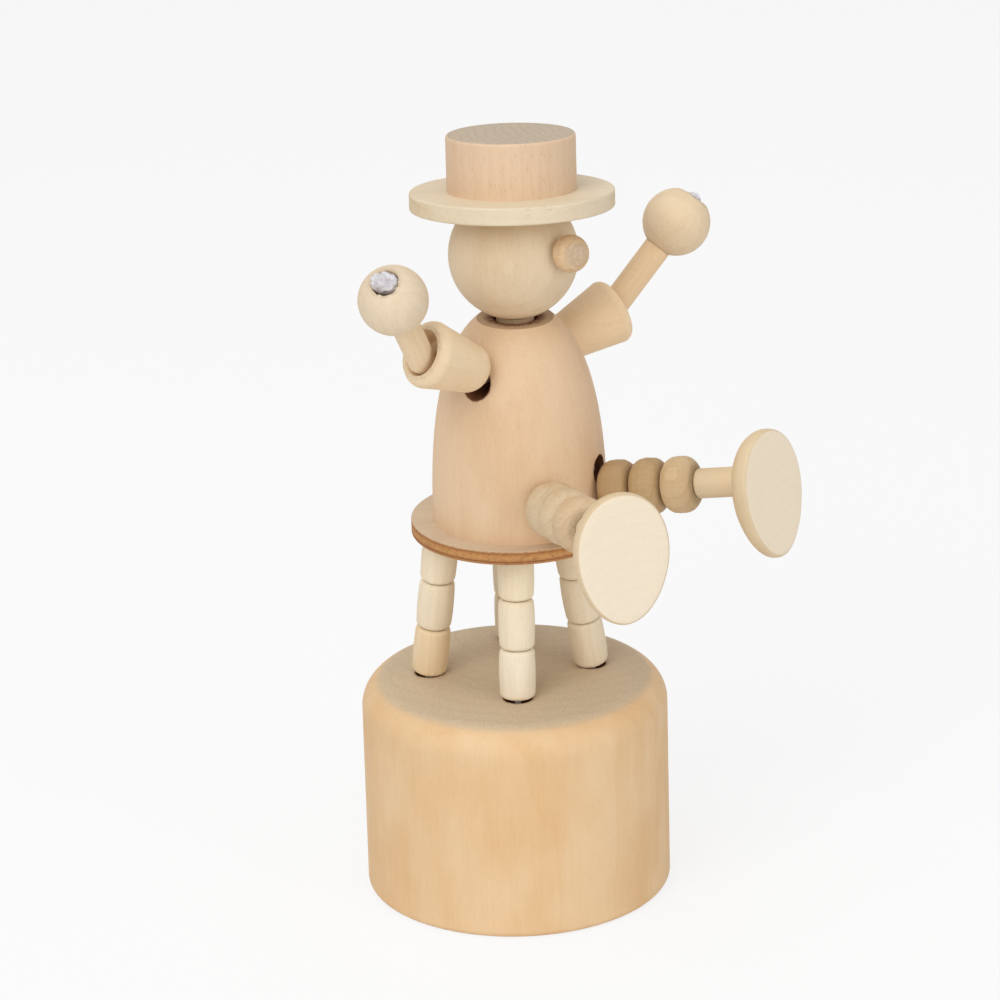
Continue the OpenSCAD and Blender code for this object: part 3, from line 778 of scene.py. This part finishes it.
arm_tints = {"right": (0.91, 0.715, 0.480), "left": (0.95, 0.725, 0.470)}
arm_seeds = {"right": 21.0, "left": 31.0}
arm_cord_length = 10.0
for side in side_names:
    tint = arm_tints[side]
    sleeve_place = standing(elbow(side), pointing(sleeve_azimuth[side], sleeve_rise[side]))
    sleeve_finish = wood(
        f"sleeve wood {side}", sleeve_place, tint, shaded(tint, 0.90), grey(tint, 0.98),
        pith=(7.0, 3.0, 0.0), ring_pitch=1.7, rings=0.26, fibre=0.9, pores=0.3, blotches=0.5,
        seed=arm_seeds[side],
    )
    finish_node(f"{side}_sleeve", sleeve_finish)
    forearm_place = standing(elbow(side), wrist_direction(side))
    forearm_finish = wood(
        f"forearm wood {side}", forearm_place, shaded(tint, 0.97), shaded(tint, 0.86), grey(tint, 0.92),
        pith=(5.0, 4.0, 0.0), ring_pitch=1.2, rings=0.3, fibre=1.1, pores=0.3, blotches=0.5,
        seed=arm_seeds[side] + 1,
    )
    finish_node(f"{side}_forearm", forearm_finish)
    outer = elbow(side) + wrist_direction(side) * arm_cord_length * millimetre
    cord_stretch(f"{side}_arm_cord", elbow(side), outer, f"{side}_forearm")

# ---- Hands --------------------------------------------------------------------------------
# A hand is a turned ball, drilled from outside for the cord's knot. The drill tore the hole's rim,
# and the cord's end was melted over the knot and pressed in, which singed the wood. The brown down the
# hole's wall is painted shade.
hand_radius = 5.5
knot_hole_radius = 2.2
knot_hole_depth = 4.5
rim_turn = {"right": 0.6, "left": 2.4}
torn_reach = 1.1
torn_width = 0.6
torn_depth = 0.45


def hand_outline():
    """The ball with its knot hole on top and its cord's bore below."""
    rim = math.degrees(math.acos(knot_hole_radius / hand_radius))
    foot = -math.degrees(math.acos(bead_bore / hand_radius))
    ball = arc(0, 0, hand_radius, foot, rim, 40)
    floor = hand_radius - knot_hole_depth
    hole = [(knot_hole_radius - 0.05, floor + 3.0), (knot_hole_radius - 0.05, floor)]
    return ball + hole + [(bead_bore, floor)]


def torn_rim(side):
    """Widens and chips the knot's hole towards its rim, most on one side."""
    turn = rim_turn[side]
    rim_height = math.sqrt(hand_radius ** 2 - knot_hole_radius ** 2)

    def chip(r, z, angle):
        from_rim = math.hypot(r - knot_hole_radius, z - rim_height)
        near = max(0.0, 1 - from_rim / torn_reach) ** 2
        around = Vector((math.cos(angle), math.sin(angle), 0))
        torn = abs(noise.noise(around * 2.1 + Vector((turn * 7, 0, 0)))) * 1.1
        torn += 0.8 * max(0.0, math.cos(angle - turn)) ** 6
        return r + near * torn * torn_width, z - near * torn * torn_depth
    return chip


def make_knot_finish():
    """Melted cord end: pale grey, half glossy, streaked, and singed brown towards the wood."""
    material = make_cord_finish("melted cord", (0.80, 0.79, 0.82), (0.50, 0.46, 0.49))
    tree = material.node_tree
    shader = tree.nodes["Principled BSDF"]
    pale = shader.inputs["Base Color"].links[0].from_socket
    where = tree.nodes.new("ShaderNodeTexCoord").outputs["Object"]
    singe = remap(tree, mottle(tree, where, 300.0, 4.0), 0.56, 0.70)
    singe = compute(tree, "MULTIPLY", singe, 0.75)
    tree.links.new(blended(tree, singe, pale, (0.23, 0.14, 0.10, 1)), shader.inputs["Base Color"])
    shader.inputs["Roughness"].default_value = 0.42
    return material


knot_finish = make_knot_finish()
hand_tints = {"right": (0.79, 0.645, 0.465), "left": (0.83, 0.655, 0.445)}
hole_stain_and_shade_above = 2.0
knot_shift = (-0.15, -0.2)
knot_lift = {"right": 4.2, "left": 4.0}
knot_radii = {"right": (1.75, 2.5, 1.9), "left": (1.5, 1.8, 1.75)}
tail_shift = (-0.7, 0.5)
tail_drop = 0.9
tail_radii = (0.9, 1.2, 1.5)
for side in side_names:
    tint = hand_tints[side]
    reach = wrist_direction(side)
    hand_place = standing(joints[f"{side}_wrist_droop"]["pos_m"], reach)
    # the knot's hole is brown: singe at its rim, painted shade down its wall
    hole_place = hand_place @ Matrix.Translation((0, 0, hole_stain_and_shade_above * millimetre))
    hand_finish = wood(
        f"hand wood {side}", hand_place, tint, shaded(tint, 0.88), grey(tint, 0.95),
        holes=[(hole_place, knot_hole_radius - 0.3, 0.3)], pith=(6.0, 9.0, 0.0), ring_pitch=1.8, rings=0.3,
        fibre=0.8, pores=0.3, blotches=0.5, seed=arm_seeds[side] + 2,
    )
    points, faces = lathe(refined(hand_outline(), 0.5), hand_place, 3.1 + rim_turn[side], segments=96,
                          extra=torn_rim(side))
    new_piece(f"{side}_hand_ball", points, faces, hand_finish, f"{side}_hand", "arm_wood", [f"{side}_hand"])
    knot_centre = hand_place @ (Vector((*knot_shift, knot_lift[side])) * millimetre)
    lump(f"{side}_knot_melted", knot_centre, reach, knot_radii[side], 0.34, 8.2 * rim_turn[side],
         knot_finish, f"{side}_hand", "singed_knot", [f"{side}_hand_knot"])
    tail_centre = hand_place @ (Vector((*tail_shift, knot_lift[side] - tail_drop)) * millimetre)
    lump(f"{side}_knot_tail", tail_centre, reach, tail_radii, 0.30, 2.9 * rim_turn[side],
         knot_finish, f"{side}_hand", "singed_knot")

# ---- Legs ---------------------------------------------------------------------------------
# Three short turned beads make each knee, with the lathe's fine rings still on them. The shoe is
# turned as a mushroom with a flat face, whose rim was then sanded to an egg shape.
knee_radius = 4.55
knee_length = 5.35
knee_edge = 2.1
knee_gap = 0.06
knee_barrel = 0.03
# the far (left) knee's beads are darker and browner, the first most: part wood tone, part painted shade
knee_tints_and_shade = {
    "right": ((0.68, 0.53, 0.345), (0.70, 0.54, 0.35), (0.70, 0.53, 0.34)),
    "left": ((0.47, 0.31, 0.155), (0.52, 0.36, 0.19), (0.66, 0.49, 0.29)),
}
sole_tints = {"right": (0.90, 0.780, 0.610), "left": (0.93, 0.800, 0.620)}
stem_tint = (0.74, 0.580, 0.375)
stem_radius = 2.4
stem_length = 8.5
sole_width = 15.6
sole_height = 21.0
sole_drop = 2.0
shoe_depth = 4.9
sole_edge = 1.1
flare_start = 0.24
flare_angle = 86
face_share = 0.93
toe_in = {"right": 0.0, "left": 15.0}
cord_in_body = 2.5
cord_in_stem = 5.0


def sole_point(angle, size):
    """A point of the egg-shaped sole, wide at the toes."""
    width = sole_width / 2 * math.cos(angle) * (1 + 0.11 * math.sin(angle))
    return Vector((width * size, (sole_height / 2 * math.sin(angle) - sole_drop) * size, 0))


def shoe_mesh(place, side):
    """Stem, flaring back, rounded edge and flat face, with the cord's bore in the stem."""
    segments = 96
    profile = [
        (bead_bore, stem_length - 1), (bead_bore, 0), (stem_radius - 0.5, 0), (stem_radius - 0.15, 0.15),
        (stem_radius, 0.5), (stem_radius, 3.0), (stem_radius, 5.5), (stem_radius + 0.02, 7.4),
    ]
    rings = []
    for r, z in profile:
        angles = [math.tau * s / segments + math.pi / 2 for s in range(segments)]
        rings.append([Vector((r * math.cos(angle), r * math.sin(angle), z)) for angle in angles])
    tilt = Matrix.Rotation(math.radians(toe_in[side]), 4, "X")
    back_depth = shoe_depth - sole_edge
    turns = [math.radians(flare_angle * i / 12) for i in range(12, -1, -1)]
    flare = [(flare_start + (1 - flare_start) * math.cos(turn), 1 - math.sin(turn)) for turn in turns]
    levels = [(size, back_depth * depth) for size, depth in flare]
    levels += [(0.995, shoe_depth - 0.55), (0.985, shoe_depth - 0.22), (0.962, shoe_depth - 0.05)]
    levels += [(face_share - 0.155 * i, shoe_depth) for i in range(6)] + [(0.03, shoe_depth)]
    for size, depth in levels:
        ring = []
        for s in range(segments):
            flat = Matrix.Rotation(math.pi / 2, 4, "Z") @ sole_point(math.tau * s / segments, size)
            wave = 0.05 * noise.noise(flat * 0.3 + Vector((0, 0, depth)))
            ring.append(tilt @ Vector((flat.x, flat.y, depth + wave)) + Vector((0, 0, stem_length)))
        rings.append(ring)
    return skin([[place @ (point * millimetre) for point in ring] for ring in rings])


for side in side_names:
    first, last = (middle(f"{side}_knee_bead_{number}") for number in (1, 3))
    leg_axis = (last - first).normalized()
    hip = first - leg_axis * knee_length / 2 * millimetre
    pitch = (knee_length + knee_gap) * millimetre
    for number in range(3):
        node_name = f"{side}_knee_bead_{number + 1}"
        tint = knee_tints_and_shade[side][number]
        bead_place = standing(hip + leg_axis * pitch * number, leg_axis)
        # each bead's bore and its rims turn brown: torn wood, and painted shade down the bore
        finish = wood(
            f"knee wood {side} {number + 1}", bead_place, tint, shaded(tint, 0.84), grey(tint, 0.86),
            holes=[(bead_place, bead_bore, 0.3)], pith=(6.0 + number, 7.0, 0.0), ring_pitch=1.4, rings=0.45,
            fibre=1.0, pores=0.35, blotches=0.5, seed=arm_seeds[side] + 4 + number,
        )
        outline = bead_outline(knee_radius, knee_length, knee_edge, knee_barrel, bead_bore)
        points, faces = lathe(refined(outline, 0.3), bead_place, 11.9 + 4.1 * number,
                              uneven=0.05, marks=0.05)
        new_piece(f"{node_name}_turned", points, faces, finish, node_name, "knee_wood", [node_name])
    ankle = hip + leg_axis * pitch * 3
    shoe_place = standing(ankle, leg_axis)
    shoe_finish = wood(
        f"shoe wood {side}", shoe_place, stem_tint, shaded(stem_tint, 0.86), sole_tints[side],
        pith=(26.0, 6.0, 0.0), ring_pitch=2.0, rings=0.06, fibre=0.5, pores=0.1, blotches=0.3, relief=0.12,
        specks=0.10, seed=arm_seeds[side] + 8,
    )
    node_name = f"{side}_shoe"
    points, faces = shoe_mesh(shoe_place, side)
    new_piece(f"{node_name}_sanded", points, faces, shoe_finish, node_name, "shoe_wood", [node_name])
    joints_between = [hip - leg_axis * cord_in_body * millimetre]
    joints_between += [hip + leg_axis * pitch * (number + 0.5) for number in range(3)]
    joints_between.append(ankle + leg_axis * cord_in_stem * millimetre)
    bodies = ["torso"] + [f"{side}_knee_bead_{number}" for number in (1, 2, 3)] + [f"{side}_shoe"]
    for number in range(4):
        cord_stretch(f"{side}_leg_cord_{number + 1}", joints_between[number], joints_between[number + 1],
                     bodies[number], bodies[number + 1])

# ---- Floor and light ----------------------------------------------------------------------
# A plain white floor that keeps the soft shadow, and three broad lamps: one high on the left of
# the view, one low on its right and one overhead.
floor_half = 3.0
floor_points = [(x * floor_half, y * floor_half, 0) for x, y in ((-1, -1), (1, -1), (1, 1), (-1, 1))]
floor_mesh = bpy.data.meshes.new("floor")
floor_mesh.from_pydata(floor_points, [], [(0, 1, 2, 3)])
floor = bpy.data.objects.new("floor", floor_mesh)
bpy.context.scene.collection.objects.link(floor)
floor_finish, floor_tree, floor_shader = new_material("white floor")
floor_shader.inputs["Base Color"].default_value = (0.90, 0.90, 0.90, 1)
floor_shader.inputs["Roughness"].default_value = 0.9
floor_shader.inputs["Specular IOR Level"].default_value = 0.1
rays = floor_tree.nodes.new("ShaderNodeLightPath").outputs
glow_share = 0.80
seen_white = compute(floor_tree, "MULTIPLY", rays["Is Camera Ray"], glow_share)
white = add(floor_tree, "ShaderNodeEmission", {"Color": (1, 1, 1, 1), "Strength": 1.0}).outputs[0]
paper = add(floor_tree, "ShaderNodeMixShader", {0: seen_white, 1: floor_shader.outputs[0], 2: white})
floor_tree.links.new(paper.outputs[0], floor_tree.nodes["Material Output"].inputs["Surface"])
floor_mesh.materials.append(floor_finish)

world = bpy.data.worlds.new("studio")
bpy.context.scene.world = world
world.use_nodes = True
sky = world.node_tree
sky_rays = sky.nodes.new("ShaderNodeLightPath").outputs
straight_look = compute(sky, "MAXIMUM", sky_rays["Is Camera Ray"], sky_rays["Is Glossy Ray"])
straight_look = compute(sky, "MAXIMUM", straight_look, sky_rays["Is Transmission Ray"])
room_light = 0.38
brightness = compute(sky, "MULTIPLY_ADD", straight_look, 1 - room_light, room_light)
sky.links.new(brightness, sky.nodes["Background"].inputs["Strength"])
sky.nodes["Background"].inputs["Color"].default_value = (1, 1, 1, 1)


def lamp(name, place, aim, size, power):
    """A square soft lamp at place that looks at aim."""
    data = bpy.data.lights.new(name, "AREA")
    data.size = size
    data.energy = power
    made = bpy.data.objects.new(name, data)
    bpy.context.scene.collection.objects.link(made)
    made.matrix_world = standing(place, Vector(place) - Vector(aim))


lamp_aim = Vector((0, 0, 0.07))
flat_back = Vector((view_back.x, view_back.y, 0)).normalized()
lamp("key lamp", flat_back * 1.0 - view_right * 0.55 + Vector((0, 0, 0.95)), lamp_aim, 0.9, 9.2)
lamp("fill lamp", flat_back * 0.8 + view_right * 0.95 + Vector((0, 0, 0.45)), lamp_aim, 0.8, 3.4)
lamp("top lamp", view_right * -0.1 + Vector((0, 0, 1.25)), lamp_aim, 1.0, 4.2)

bpy.context.scene.view_settings.view_transform = "Standard"
